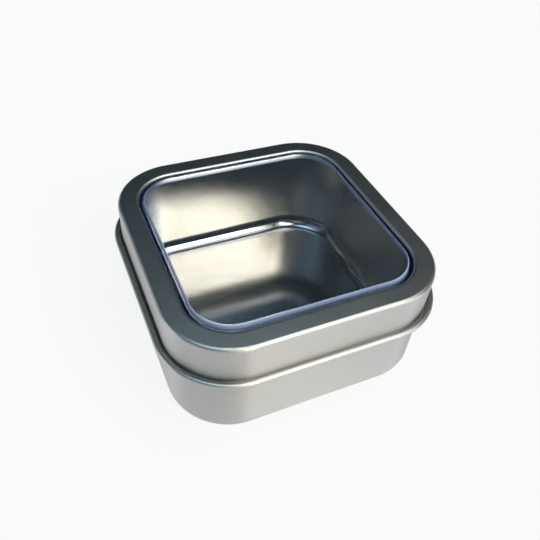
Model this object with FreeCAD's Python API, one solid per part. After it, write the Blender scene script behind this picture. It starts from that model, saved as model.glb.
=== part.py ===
import FreeCAD, Part
import math
import os

V = FreeCAD.Vector

# Slip-lid tin with a clear window in the lid, in millimetres, +Z up
# Origin: middle of the pan's underside. Every wall turns round the same four upright corner axes

# Whole tin
lid_width = 80.0          # across the skirt, side to side
tin_height = 37.35        # underside of the pan to the flat of the frame
corner_r = 19.0           # skirt's corner, seen from above
sheet = 0.28              # tinplate of pan and lid

# Lid frame
frame_edge_r = 1.0        # round edge between frame and skirt, outside
frame_width = 6.15        # skirt's outside to the face of the opening
lip_r = 0.85              # round edge where the frame turns down into the opening
lip_depth = 1.9           # flat of the frame to the cut edge of the lip
skirt_depth = 13.05       # flat of the frame to the underside of the roll

# Rolled edge at the skirt's foot
roll_r = 0.8              # outside of the roll
roll_reach = 2.3          # how far the roll stands out from the skirt
roll_over_deg = 130.0     # where the round ends and the sheet leans in, from outwards up and over
slit = 0.45               # skirt to the sheet's free edge, along the sides
slit_corner = 0.85        # skirt to the sheet's free edge, in the middle of a corner

# Pan
slip_gap = 0.2            # skirt's inside to the pan's wall
pan_edge_r = 4.4          # round edge between floor and wall, inside

# Window
film = 0.35               # clear sheet
panel_gap = 1.25          # face of the opening to the foot of the panel's wall
panel_rise = 0.2          # panel above the flat of the frame
panel_edge_r = 0.6        # round top edge of the panel, outside
foot_r = 0.3              # hollow between the panel's wall and the flange
wall_draft_deg = 8.0      # lean of the panel's wall, narrower at the top
flange_gap = 0.3          # flange's edge to the skirt's inside

# Cuts run past open faces by this much
overrun = 1.0

# Places that follow from the sizes, as half widths and heights
skirt_out = lid_width / 2
skirt_in = skirt_out - sheet
axis_off = skirt_out - corner_r
opening = skirt_out - frame_width
roll_z = tin_height - skirt_depth + roll_r
roll_a = skirt_out + roll_reach - roll_r
bend_r = roll_r - sheet
lip_foot_z = tin_height - lip_depth
flange_under_z = lip_foot_z - film
pan_out = skirt_in - slip_gap
pan_in = pan_out - sheet
quarter_deg = 90.0
half_turn_deg = 180.0


def bend(centre_a, centre_z, r, start_deg, end_deg):
    """Start, middle and end of a bend in a section; 0 degrees is outwards and 90 is up."""
    points = []
    for deg in (start_deg, (start_deg + end_deg) / 2, end_deg):
        turn = math.radians(deg)
        points.append(V(centre_a + r * math.cos(turn), 0, centre_z + r * math.sin(turn)))
    return points


def corner(a, z):
    """One sharp corner of a section."""
    return [V(a, 0, z)]


def section(pieces):
    """Closed face from bends and corners, in order, joined by straight lines."""
    edges = []
    for here, after in zip(pieces, pieces[1:] + pieces[:1]):
        if len(here) == 3:
            edges.append(Part.Arc(*here).toShape())
        edges.append(Part.LineSegment(here[-1], after[0]).toShape())
    return Part.Face(Part.Wire(edges))


def ring(face):
    """Section carried along four straight sides and round four corner axes."""
    up = V(0, 0, 1)
    start = face.copy()
    start.translate(V(0, -axis_off, 0))
    side = start.extrude(V(0, 2 * axis_off, 0))
    end = face.copy()
    end.translate(V(0, axis_off, 0))
    turn = end.revolve(V(axis_off, axis_off, 0), up, quarter_deg)
    pieces = []
    for quarter in range(4):
        for piece in (side, turn):
            copy = piece.copy()
            copy.rotate(V(0, 0, 0), up, quarter * quarter_deg)
            pieces.append(copy)
    return pieces[0].multiFuse(pieces[1:]).removeSplitter()


def block(half, low_z, high_z, upright_r):
    """Square block with round upright corners."""
    body = Part.makeBox(2 * half, 2 * half, high_z - low_z, V(-half, -half, low_z))
    upright = [e for e in body.Edges if e.BoundBox.ZLength > max(e.BoundBox.XLength, e.BoundBox.YLength)]
    return body.makeFillet(upright_r, upright)


def wall_block(half, low_z, high_z):
    """Square block whose corners turn round the corner axes."""
    return block(half, low_z, high_z, half - axis_off)


def round_foot(body, r):
    """Round the lower edge of a block."""
    low_z = body.BoundBox.ZMin
    middle_z = body.BoundBox.Center.z
    foot = [e for e in body.Edges if e.BoundBox.ZMax < (low_z + middle_z) / 2]
    return body.makeFillet(r, foot)


def base_pan():
    """Drawn pan: straight wall, round lower edge, flat floor, open top under the window's flange."""
    outside = round_foot(wall_block(pan_out, 0, flange_under_z), pan_edge_r + sheet)
    inside = round_foot(wall_block(pan_in, sheet, flange_under_z + overrun), pan_edge_r)
    return outside.cut(inside)


def lean_in(r):
    """End of the roll's sheet at the slit, on the face of radius r; the roll's middle is at roll_a."""
    over = math.radians(roll_over_deg)
    run = roll_a + r * math.cos(over) - (skirt_out + slit)
    return corner(skirt_out + slit, roll_z + r * math.sin(over) + run / math.tan(over))


def corner_trim():
    """Ring that trims the roll's free edge, so that the slit widens in the corners."""
    free_a = skirt_out + slit
    root_two = math.sqrt(2)
    upright_r = corner_r + (slit * root_two - slit_corner) / (root_two - 1)
    low_z = (lean_in(bend_r)[0].z + roll_z - bend_r) / 2
    high_z = roll_z + roll_r
    kept = wall_block(free_a - sheet / 2, low_z - overrun, high_z + overrun)
    return block(free_a, low_z, high_z, upright_r).cut(kept)


def lid_frame():
    """Drawn ring: turned-down lip, flat frame, round edge, skirt and the open roll at its foot."""
    lip_a = opening + lip_r
    lip_z = tin_height - lip_r
    edge_a = skirt_out - frame_edge_r
    edge_z = tin_height - frame_edge_r
    foot_a = skirt_out + bend_r
    down_deg = -quarter_deg
    drawn = ring(section([
        corner(opening, lip_foot_z),
        bend(lip_a, lip_z, lip_r, half_turn_deg, quarter_deg),
        bend(edge_a, edge_z, frame_edge_r, quarter_deg, 0),
        bend(foot_a, roll_z, bend_r, -half_turn_deg, down_deg),
        bend(roll_a, roll_z, bend_r, down_deg, roll_over_deg),
        lean_in(bend_r),
        lean_in(roll_r),
        bend(roll_a, roll_z, roll_r, roll_over_deg, down_deg),
        bend(foot_a, roll_z, roll_r, down_deg, -half_turn_deg),
        bend(edge_a, edge_z, frame_edge_r - sheet, 0, quarter_deg),
        bend(lip_a, lip_z, lip_r - sheet, quarter_deg, half_turn_deg),
        corner(opening + sheet, lip_foot_z),
    ]))
    return drawn.cut(corner_trim())


def lid_window():
    """Formed clear sheet: flat panel, leaning wall up through the opening, flange under the lip."""
    lean = math.radians(wall_draft_deg)
    top_z = tin_height + panel_rise
    edge_z = top_z - panel_edge_r
    foot_z = lip_foot_z + foot_r
    foot_a = opening - panel_gap + foot_r
    fall = edge_z - foot_z + (panel_edge_r + foot_r) * math.sin(lean)
    edge_a = foot_a - (panel_edge_r + foot_r) * math.cos(lean) - fall * math.tan(lean)
    flange_a = skirt_in - flange_gap
    low_deg = half_turn_deg + wall_draft_deg
    floor_deg = half_turn_deg + quarter_deg
    rim = ring(section([
        corner(edge_a - panel_edge_r, top_z),
        bend(edge_a, edge_z, panel_edge_r, quarter_deg, wall_draft_deg),
        bend(foot_a, foot_z, foot_r, low_deg, floor_deg),
        corner(flange_a, lip_foot_z),
        corner(flange_a, flange_under_z),
        bend(foot_a, foot_z, foot_r + film, floor_deg, low_deg),
        bend(edge_a, edge_z, panel_edge_r - film, wall_draft_deg, quarter_deg),
        corner(edge_a - panel_edge_r, top_z - film),
    ]))
    panel = wall_block(edge_a - panel_edge_r, top_z - film, top_z)
    return rim.fuse(panel).removeSplitter()


os.makedirs("parts", exist_ok=True)
for name, make in (("base_pan", base_pan), ("lid_frame", lid_frame), ("lid_window", lid_window)):
    shape = make()
    box = shape.BoundBox
    print(name, shape.ShapeType, len(shape.Solids), shape.isValid(), round(shape.Volume, 2),
          [round(v, 2) for v in (box.XMin, box.XMax, box.ZMin, box.ZMax)], len(shape.Faces))
    shape.exportStep("parts/" + name + ".step")
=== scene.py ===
import math

import bpy
from mathutils import Matrix, Vector

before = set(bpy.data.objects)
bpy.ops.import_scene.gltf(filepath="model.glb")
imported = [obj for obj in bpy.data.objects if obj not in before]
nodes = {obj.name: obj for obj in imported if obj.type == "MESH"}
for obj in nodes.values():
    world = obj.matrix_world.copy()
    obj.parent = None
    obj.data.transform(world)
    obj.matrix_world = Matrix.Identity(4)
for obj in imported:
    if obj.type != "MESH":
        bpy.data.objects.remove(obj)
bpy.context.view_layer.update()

# Lengths are in metres and angles in degrees

# Camera, from the fit to the outlines of lid, roll and pan
CAMERA_AT = Vector((-0.058527, -0.115139, 0.145906))
CAMERA_TO = Vector((0.001296, 0.000943, 0.0176))
CAMERA_ROLL = math.radians(5.252)
CAMERA_LENS = 38.065
CAMERA_SENSOR = 36.0
CAMERA_CLIP = (0.005, 20.0)

# Floor, and the share of it that is plain white to the camera, and to mirrors and glass
FLOOR_HALF = 3.0
FLOOR_DARK = (0.86, 0.87, 0.89, 1.0)
FLOOR_LIGHT = (0.88, 0.88, 0.89, 1.0)
FLOOR_CLOUD = 6.0
WHITE_SEEN = 0.87
WHITE_MIRRORED = 0.8
WHITE = (1.0, 1.0, 1.0, 1.0)

# Tinplate
TIN = (0.57, 0.57, 0.56)
# Painted shade: darker tin colour for what faces down on the lid, which is also rougher there
TIN_PAINTED_SHADE_BELOW = (0.25, 0.25, 0.24, 1.0)
DULL_ROUGHNESS = 0.6
GRAIN_SHADES = (0.95, 1.04)
GRAIN_RANGE = (0.2, 0.8)
GRAIN_ON_WALLS = (2200.0, 2200.0, 1500.0)
GRAIN_ON_FLATS = (120.0, 2600.0, 2600.0)
GRAIN_DETAIL = 3.0
GRAIN_ROUGHNESS = 0.6
GRAIN_HEIGHT = 0.00002
GRAIN_OUTSIDE, GRAIN_INSIDE = 0.08, 0.01
CLOUD = 90.0
CLOUD_BLUR = 0.01
STRETCH = 0.95
TURN_OUTSIDE, TURN_INSIDE = 0.25, 0.0

# Where a normal counts as flat, as up or down, and as facing the tin's middle
FLAT_FROM, FLAT_TO = 0.6, 0.8
TOP_BLEND = 0.1
BELOW_FROM, BELOW_TO = -0.5, -0.9
MIDDLE_LIFT = (0.0, 0.0, 0.03)
INWARD_BLEND = 0.002

# Window, from the part: corner axes, distances out from them to the edge of the flat panel and to
# the gap between the window's wall and the lip, and heights between which the wall turns milky
CORNER_AXIS = 0.021
PANEL_EDGE = 0.0102
GAP_FROM, GAP_TO = 0.0116, 0.0132
EDGE_BLEND = 0.0002
WALL_LOW, WALL_HIGH = 0.0360, 0.0368
WALL_LOW_SHARE = 0.3

# Clear plastic
CLEAR = (0.97, 0.98, 1.0, 1.0)
CLEAR_IOR = 1.5
CLEAR_BLUR = 0.015
CLEAR_TINT = (0.0, 0.25, 0.83, 1.0)
CLEAR_TINT_DENSITY = 110.0
CLEAR_PASS = (0.94, 0.95, 0.97, 1.0)
WAVE = 60.0
WAVE_STRENGTH, WAVE_HEIGHT = 0.04, 0.0001
HAZE = 300.0
WALL_STEEP, WALL_FLAT = 0.8, 0.98
MILKY = (0.74, 0.84)
MILKY_LILAC = (0.52, 0.68, 1.0, 1.0)
MILKY_GLOW = (0.52, 0.66, 0.95, 1.0)
MILKY_GLOW_SHARE = 0.2
BEVEL = (0.80, 0.86, 0.95, 1.0)
BEVEL_ROUGHNESS = 0.3
BEVEL_IN, BEVEL_UP = 0.74, 0.67
BEVEL_FROM, BEVEL_TO = -0.2, -0.6
BEVEL_SHARE = 0.6
# Painted shade on the flange in the gap beside the lip: colour, how far up its faces point, share
GAP_PAINTED_SHADE = (0.006, 0.012, 0.045, 1.0)
GAP_UP_FROM, GAP_UP_TO = 0.6, 0.9
GAP_SHADE_SHARE = 0.85

# Middle part of a noise's values
NOISE_LOW, NOISE_HIGH = 0.3, 0.7

# Dark room behind the lights, and the sines of elevation between which white changes to it
ROOM = (0.002, 0.01, 0.016)
WHITE_TO, ROOM_FROM = 0.03, 0.06

# Lights: colour, azimuth from +X, elevation, half angle that is full, half angle where it ends
LIGHTS = (
    ((9.1, 7.85, 5.5), -71.5, 39.0, 3.5, 11.5),
    ((2.2, 2.6, 2.9), -68.0, 30.0, 3.0, 13.0),
    ((3.5, 3.6, 3.6), -44.0, 5.0, 4.0, 18.0),
    ((1.7, 2.0, 2.4), -42.0, 46.0, 4.0, 15.0),
    ((1.6, 1.5, 1.2), -58.0, 41.0, 3.0, 11.0),
    ((4.4, 4.0, 3.4), -77.0, 58.0, 5.0, 17.0),
    ((0.8, 0.8, 0.8), -30.0, 60.0, 5.0, 20.0),
    ((1.4, 1.3, 0.9), 0.0, 60.0, 4.0, 18.0),
    ((1.8, 2.1, 2.3), 15.0, 74.0, 4.0, 19.0),
    ((1.0, 1.6, 1.9), -165.0, 74.0, 4.0, 19.0),
    ((1.7, 1.9, 1.9), 165.0, 4.0, 4.0, 24.0),
    ((0.25, 0.27, 0.28), 150.0, 27.0, 6.0, 22.0),
    ((0.25, 0.32, 0.4), -165.0, 45.0, 4.0, 20.0),
    ((0.38, 0.38, 0.36), -118.0, 36.0, 4.0, 18.0),
    ((0.16, 0.21, 0.22), 120.0, 31.0, 4.0, 19.0),
    ((0.09, 0.14, 0.17), 80.0, 60.0, 4.0, 19.0),
    ((0.17, 0.18, 0.18), 42.0, 63.0, 4.0, 16.0),
    ((0.7, 0.8, 0.8), 65.0, 80.0, 4.0, 16.0),
)


def graph(tree):
    """Return a function that adds a node to the tree and sets or links its inputs."""
    tree.nodes.clear()

    def add(kind, inputs=None, **settings):
        node = tree.nodes.new("ShaderNode" + kind)
        for name, value in settings.items():
            setattr(node, name, value)
        for name, value in (inputs or {}).items():
            if isinstance(value, bpy.types.NodeSocket):
                tree.links.new(value, node.inputs[name])
            else:
                node.inputs[name].default_value = value
        return node

    return add


def new_material(name):
    """Empty node material, and the function that adds its nodes."""
    material = bpy.data.materials.new(name)
    material.use_nodes = True
    return material, graph(material.node_tree)


def maths(add, kind, a, b=0.0):
    """One step of arithmetic."""
    return add("Math", {0: a, 1: b}, operation=kind).outputs[0]


def vectors(add, kind, a, b=(0.0, 0.0, 0.0)):
    """One step of vector arithmetic; a dot product or a length gives a number."""
    result = "Value" if kind in ("DOT_PRODUCT", "LENGTH") else "Vector"
    return add("VectorMath", {0: a, 1: b}, operation=kind).outputs[result]


def upward(add, vector):
    """Z of a vector."""
    return add("SeparateXYZ", {0: vector}).outputs["Z"]


def ramp(add, value, low, high, to_low=0.0, to_high=1.0):
    """Smooth step of a value between low and high."""
    inputs = {
        "Value": value, "From Min": low, "From Max": high, "To Min": to_low, "To Max": to_high,
    }
    return add("MapRange", inputs, interpolation_type="SMOOTHSTEP").outputs["Result"]


def mix(add, share, a, b):
    """Number between a and b."""
    return add("Mix", {0: share, 2: a, 3: b}).outputs[0]


def mix_colour(add, share, a, b):
    """Colour between a and b."""
    return add("Mix", {0: share, 6: a, 7: b}, data_type="RGBA").outputs[2]


def mix_shader(add, share, a, b):
    """Shader between a and b."""
    return add("MixShader", {0: share, 1: a, 2: b}).outputs[0]


def noise(add, where, scale=1.0, stretch=(1.0, 1.0, 1.0), detail=2.0, roughness=0.5):
    """Noise of a scale, or of its own scale along each axis."""
    place = add("Mapping", {"Vector": where, "Scale": stretch}).outputs["Vector"]
    inputs = {"Vector": place, "Scale": scale, "Detail": detail, "Roughness": roughness}
    return add("TexNoise", inputs).outputs["Fac"]


def tinplate(name, outside, inside, top, top_from, rough_and_shaded_below=None):
    """Satin tinplate with a fine grain.

    Roughness is given for outer walls, inner walls, and what faces up by more than top_from.
    Outer walls stretch reflections upwards, inner walls sideways. What faces down can be made
    rougher, with a darker colour that is painted shade.
    """
    material, add = new_material(name)
    where = add("TexCoord").outputs["Object"]
    normal = add("NewGeometry").outputs["Normal"]
    up = upward(add, normal)
    flat = ramp(add, maths(add, "ABSOLUTE", up), FLAT_FROM, FLAT_TO)
    on_walls = noise(add, where, 1.0, GRAIN_ON_WALLS, GRAIN_DETAIL, GRAIN_ROUGHNESS)
    on_flats = noise(add, where, 1.0, GRAIN_ON_FLATS, GRAIN_DETAIL)
    grain = mix(add, flat, on_walls, on_flats)
    cloud = noise(add, where, CLOUD, detail=GRAIN_DETAIL)

    # Inner surfaces face the tin's middle
    inward = vectors(add, "MULTIPLY", where, (-1.0, -1.0, 0.0))
    inward = vectors(add, "ADD", inward, MIDDLE_LIFT)
    facing = vectors(add, "DOT_PRODUCT", normal, inward)
    within = ramp(add, facing, -INWARD_BLEND, INWARD_BLEND)

    dark, light = (tuple(c * share for c in TIN) + (1.0,) for share in GRAIN_SHADES)
    shade = mix_colour(add, ramp(add, grain, *GRAIN_RANGE), dark, light)
    blur = mix(add, within, outside, inside)
    blur = mix(add, ramp(add, up, top_from, top_from + TOP_BLEND), blur, top)
    # Painted shade: what faces down gets a darker colour, and a rougher finish
    if rough_and_shaded_below:
        below = ramp(add, up, BELOW_FROM, BELOW_TO)
        shade = mix_colour(add, below, shade, rough_and_shaded_below)
        blur = mix(add, below, blur, DULL_ROUGHNESS)
    uneven = ramp(add, cloud, NOISE_LOW, NOISE_HIGH, -CLOUD_BLUR, CLOUD_BLUR)
    blur = maths(add, "ADD", blur, uneven)
    relief = mix(add, within, GRAIN_OUTSIDE, GRAIN_INSIDE)
    bump = add("Bump", {"Strength": relief, "Distance": GRAIN_HEIGHT, "Height": grain})
    tangent = add("Tangent", direction_type="RADIAL", axis="Z")
    shader = add("BsdfPrincipled", {
        "Base Color": shade,
        "Metallic": 1.0,
        "Roughness": blur,
        "Normal": bump.outputs["Normal"],
        "Anisotropic": ramp(add, flat, 0.0, 1.0, STRETCH, 0.0),
        "Anisotropic Rotation": mix(add, within, TURN_OUTSIDE, TURN_INSIDE),
        "Tangent": tangent.outputs[0],
    })
    add("OutputMaterial", {"Surface": shader.outputs[0]})
    return material


def side_distance(add, where):
    """Way out to the nearest side, and the distance along it.

    It starts at the corner axes and at the lines between them.
    """
    out = vectors(add, "ABSOLUTE", where)
    out = vectors(add, "SUBTRACT", out, (CORNER_AXIS, CORNER_AXIS, 1.0))
    out = vectors(add, "MAXIMUM", out)
    out = vectors(add, "MULTIPLY", out, vectors(add, "SIGN", where))
    return vectors(add, "NORMALIZE", out), vectors(add, "LENGTH", out)


def clear_plastic(name):
    """Clear sheet with a milky lilac wall; the flange in the gap beside the lip has painted shade.
    """
    material, add = new_material(name)
    where = add("TexCoord").outputs["Object"]
    normal = add("NewGeometry").outputs["Normal"]
    up = upward(add, normal)
    way, off = side_distance(add, where)

    wave = noise(add, where, WAVE)
    bump = add("Bump", {"Strength": WAVE_STRENGTH, "Distance": WAVE_HEIGHT, "Height": wave})
    haze = noise(add, where, HAZE)
    clear = add("BsdfPrincipled", {
        "Base Color": CLEAR,
        "Metallic": 0.0,
        "Roughness": ramp(add, haze, NOISE_LOW, NOISE_HIGH, 0.0, CLEAR_BLUR),
        "IOR": CLEAR_IOR,
        "Transmission Weight": 1.0,
        "Normal": bump.outputs["Normal"],
    }).outputs[0]

    wall = ramp(add, maths(add, "ABSOLUTE", up), WALL_FLAT, WALL_STEEP)
    height = ramp(add, upward(add, where), WALL_LOW, WALL_HIGH, WALL_LOW_SHARE, 1.0)
    wall = maths(add, "MULTIPLY", wall, height)
    milky = maths(add, "MULTIPLY", wall, ramp(add, wave, NOISE_LOW, NOISE_HIGH, *MILKY))
    lilac = add("BsdfDiffuse", {"Color": MILKY_LILAC}).outputs[0]
    glow = add("BsdfTranslucent", {"Color": MILKY_GLOW}).outputs[0]
    sheet = mix_shader(add, milky, clear, mix_shader(add, MILKY_GLOW_SHARE, lilac, glow))

    # The wall's inner face shines like a bevel that leans in
    lean = vectors(add, "MULTIPLY", way, (-BEVEL_IN, -BEVEL_IN, 0.0))
    lean = vectors(add, "ADD", lean, (0.0, 0.0, BEVEL_UP))
    bevel = add("BsdfPrincipled", {
        "Base Color": BEVEL, "Metallic": 1.0, "Roughness": BEVEL_ROUGHNESS, "Normal": lean,
    }).outputs[0]
    facing = vectors(add, "DOT_PRODUCT", normal, way)
    inner = maths(add, "MULTIPLY", wall, ramp(add, facing, BEVEL_FROM, BEVEL_TO, 0.0, BEVEL_SHARE))
    sheet = mix_shader(add, inner, sheet, bevel)

    # Painted shade: the up-facing flange in the gap between wall and lip takes a dark navy diffuse
    past_wall = ramp(add, off, GAP_FROM - EDGE_BLEND, GAP_FROM + EDGE_BLEND)
    before_lip = ramp(add, off, GAP_TO + EDGE_BLEND, GAP_TO - EDGE_BLEND)
    gap = maths(add, "MULTIPLY", past_wall, before_lip)
    gap = maths(add, "MULTIPLY", gap, ramp(add, up, GAP_UP_FROM, GAP_UP_TO, 0.0, GAP_SHADE_SHARE))
    dark = add("BsdfDiffuse", {"Color": GAP_PAINTED_SHADE}).outputs[0]
    sheet = mix_shader(add, gap, sheet, dark)

    # Shadow, diffuse and mirrored rays pass the flat panel straight, so light reaches the inside
    path = add("LightPath").outputs
    mirrored = maths(add, "SUBTRACT", path["Is Glossy Ray"], path["Is Transmission Ray"])
    passing = maths(add, "MAXIMUM", path["Is Shadow Ray"], mirrored)
    passing = maths(add, "MAXIMUM", passing, path["Is Diffuse Ray"])
    panel = ramp(add, off, PANEL_EDGE + EDGE_BLEND, PANEL_EDGE - EDGE_BLEND)
    passing = maths(add, "MULTIPLY", passing, panel)
    through = add("BsdfTransparent", {"Color": CLEAR_PASS}).outputs[0]
    sheet = mix_shader(add, passing, sheet, through)
    tint = add("VolumeAbsorption", {"Color": CLEAR_TINT, "Density": CLEAR_TINT_DENSITY})
    add("OutputMaterial", {"Surface": sheet, "Volume": tint.outputs[0]})
    return material


def floor_material():
    """Pale floor that takes shadows, mostly white to the camera, and to mirrors and glass."""
    material, add = new_material("pale_floor")
    cloud = noise(add, add("TexCoord").outputs["Object"], FLOOR_CLOUD)
    colour = mix_colour(add, ramp(add, cloud, NOISE_LOW, NOISE_HIGH), FLOOR_DARK, FLOOR_LIGHT)
    matt = add("BsdfDiffuse", {"Color": colour}).outputs[0]
    white = add("Emission", {"Color": WHITE, "Strength": 1.0}).outputs[0]
    path = add("LightPath").outputs
    seen = maths(add, "MULTIPLY", path["Is Camera Ray"], WHITE_SEEN)
    mirrored = maths(add, "MAXIMUM", path["Is Glossy Ray"], path["Is Transmission Ray"])
    mirrored = maths(add, "MULTIPLY", mirrored, WHITE_MIRRORED)
    share = maths(add, "MAXIMUM", seen, mirrored)
    add("OutputMaterial", {"Surface": mix_shader(add, share, matt, white)})
    return material


def direction(azimuth, elevation):
    """Unit vector of a direction in degrees."""
    a, e = math.radians(azimuth), math.radians(elevation)
    return (math.cos(a) * math.cos(e), math.sin(a) * math.cos(e), math.sin(e))


def studio_world():
    """Soft lights in a dark room; the camera sees white in its place."""
    world = bpy.data.worlds.new("studio")
    world.use_nodes = True
    add = graph(world.node_tree)
    way = add("TexCoord").outputs["Generated"]
    total = ROOM
    for colour, azimuth, elevation, full, end in LIGHTS:
        near = vectors(add, "DOT_PRODUCT", way, direction(azimuth, elevation))
        share = ramp(add, near, math.cos(math.radians(end)), math.cos(math.radians(full)))
        light = add("VectorMath", {0: colour, "Scale": share}, operation="SCALE").outputs[0]
        total = vectors(add, "ADD", total, light)
    lights = add("Background", {"Color": total, "Strength": 1.0}).outputs[0]

    # Behind the floor's edge all is white to the camera; mirrors and glass see white low down only
    white = add("Background", {"Color": WHITE, "Strength": 1.0}).outputs[0]
    path = add("LightPath").outputs
    low = ramp(add, upward(add, way), ROOM_FROM, WHITE_TO)
    mirrored = maths(add, "MAXIMUM", path["Is Glossy Ray"], path["Is Transmission Ray"])
    mirrored = maths(add, "MULTIPLY", mirrored, low)
    share = maths(add, "MAXIMUM", path["Is Camera Ray"], mirrored)
    add("OutputWorld", {"Surface": mix_shader(add, share, lights, white)})
    bpy.context.scene.world = world


def camera():
    """Camera at the photograph's viewing angle."""
    data = bpy.data.cameras.new("camera")
    data.lens = CAMERA_LENS
    data.sensor_width = CAMERA_SENSOR
    data.clip_start, data.clip_end = CAMERA_CLIP
    forward = (CAMERA_TO - CAMERA_AT).normalized()
    right = forward.cross(Vector((0, 0, 1))).normalized()
    up = right.cross(forward)
    side = math.cos(CAMERA_ROLL) * right + math.sin(CAMERA_ROLL) * up
    top = -math.sin(CAMERA_ROLL) * right + math.cos(CAMERA_ROLL) * up
    turn = Matrix((side, top, -forward)).transposed()
    eye = bpy.data.objects.new("camera", data)
    eye.matrix_world = Matrix.Translation(CAMERA_AT) @ turn.to_4x4()
    bpy.context.scene.collection.objects.link(eye)
    bpy.context.scene.camera = eye


def floor():
    """Plain square floor under the tin."""
    h = FLOOR_HALF
    mesh = bpy.data.meshes.new("floor")
    mesh.from_pydata([(-h, -h, 0), (h, -h, 0), (h, h, 0), (-h, h, 0)], [], [(0, 1, 2, 3)])
    plane = bpy.data.objects.new("floor", mesh)
    plane.data.materials.append(floor_material())
    bpy.context.scene.collection.objects.link(plane)


finishes = {
    "base_pan": tinplate("pan_tinplate_satin", outside=0.38, inside=0.255, top=0.13, top_from=0.2),
    "lid_frame": tinplate("lid_tinplate_satin", outside=0.38, inside=0.38, top=0.30, top_from=0.9,
                          rough_and_shaded_below=TIN_PAINTED_SHADE_BELOW),
    "lid_window": clear_plastic("clear_plastic_formed"),
}
for name, finish in finishes.items():
    for index in range(len(nodes[name].data.materials)):
        nodes[name].data.materials[index] = finish

floor()
studio_world()
camera()
bpy.context.scene.view_settings.view_transform = "Standard"
